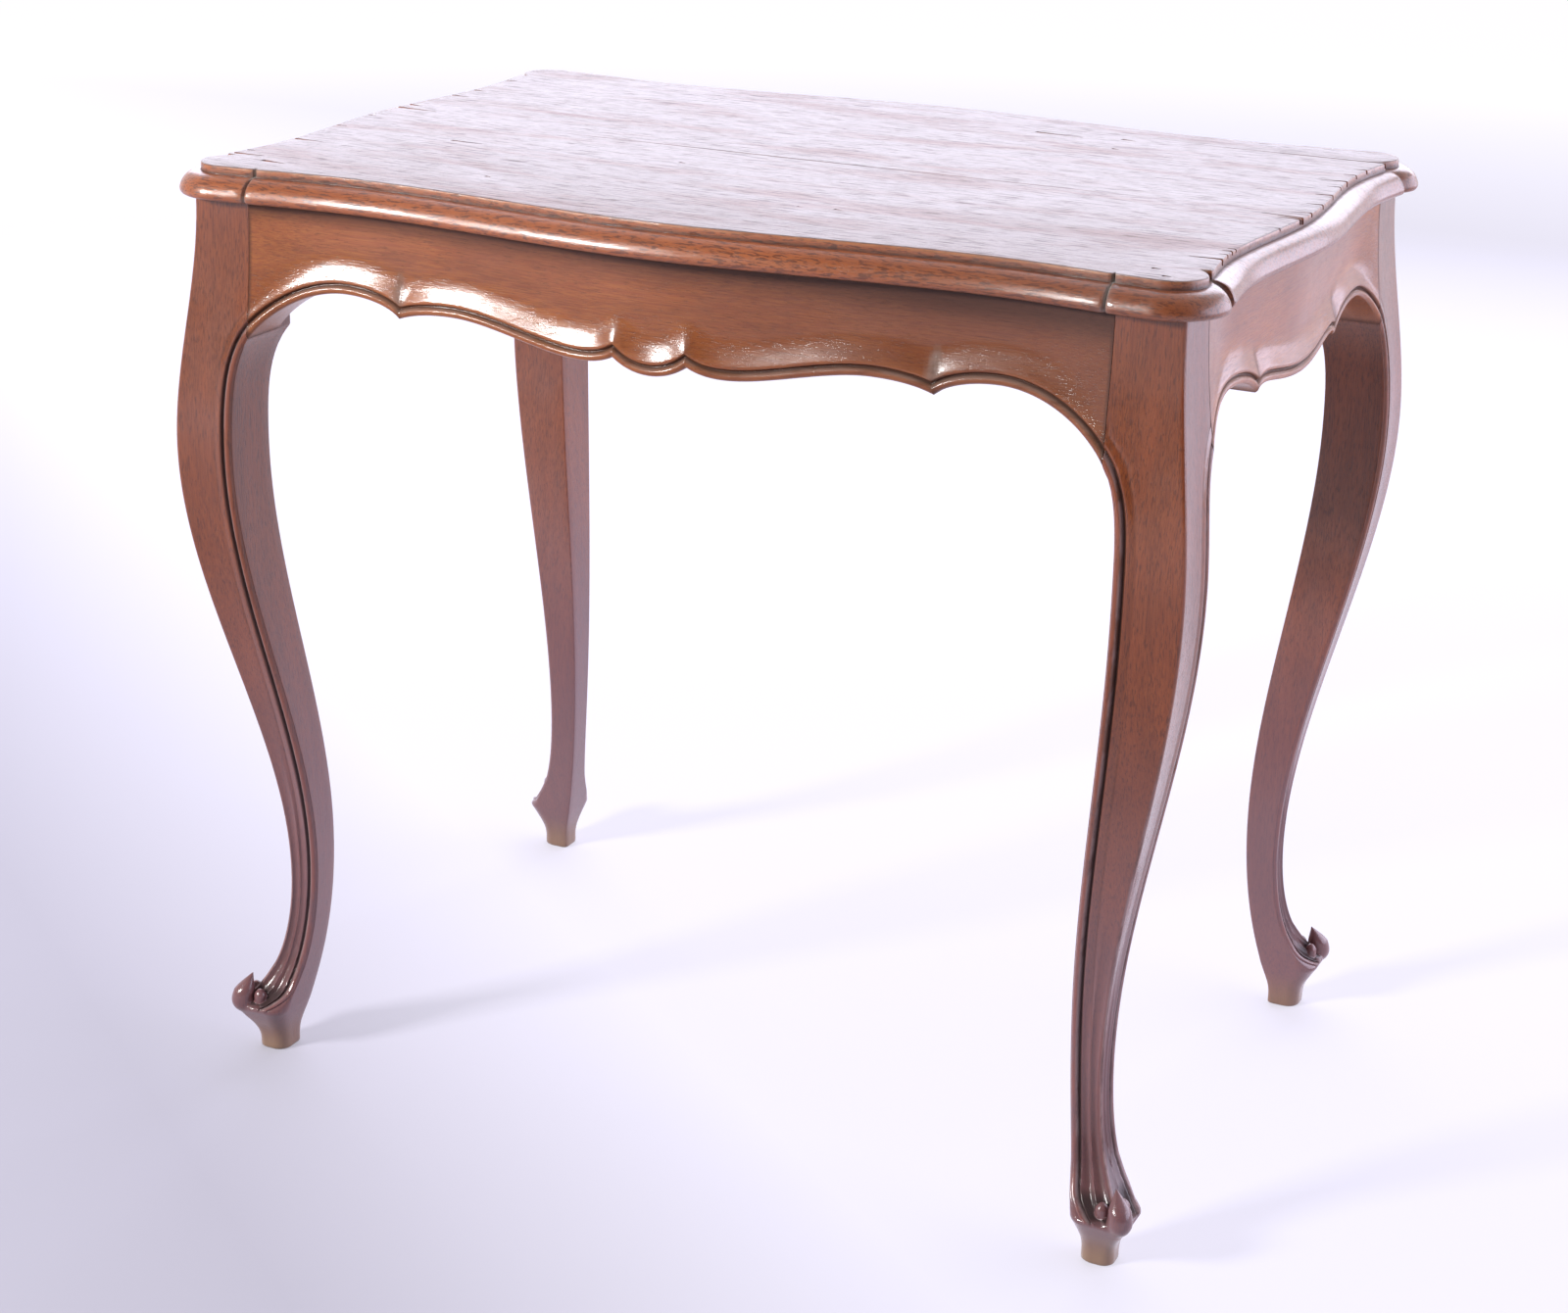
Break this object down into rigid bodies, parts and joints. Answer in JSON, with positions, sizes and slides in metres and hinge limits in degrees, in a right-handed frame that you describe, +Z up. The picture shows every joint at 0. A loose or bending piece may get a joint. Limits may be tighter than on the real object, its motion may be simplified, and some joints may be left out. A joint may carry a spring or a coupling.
{
  "type": "serpentine side table on cabriole legs",
  "caption": "Polished wooden side table with a serpentine moulded top, scalloped beaded aprons and square cabriole legs on scroll toes.",
  "frame": {"origin": "on the floor under the middle of the table", "axes": "+Z up, +X to the right along the long front, -Y towards the front in the picture"},
  "size_m": [0.794, 0.56, 0.715],
  "materials": {
    "polished_top": "worn wax polish over red brown hardwood",
    "polished_frame": "French polished red brown hardwood",
    "block_wood": "bare sawn secondary wood",
    "screw_steel": "dull old steel"
  },
  "bodies": {
    "root": {"top_board_front": "polished_top", "top_board_middle": "polished_top", "top_board_back": "polished_top", "apron_front": "polished_frame", "apron_back": "polished_frame", "apron_left": "polished_frame", "apron_right": "polished_frame", "leg_front_left": "polished_frame", "leg_front_right": "polished_frame", "leg_back_left": "polished_frame", "leg_back_right": "polished_frame", "corner_block_front_left": "block_wood", "corner_block_front_right": "block_wood", "corner_block_back_left": "block_wood", "corner_block_back_right": "block_wood", "glue_block_front_left": "block_wood", "glue_block_front_right": "block_wood", "glue_block_back_left": "block_wood", "glue_block_back_right": "block_wood", "glue_block_left": "block_wood", "glue_block_right": "block_wood", "top_screws": "screw_steel", "corner_block_screws": "screw_steel"}
  },
  "joints": []
}
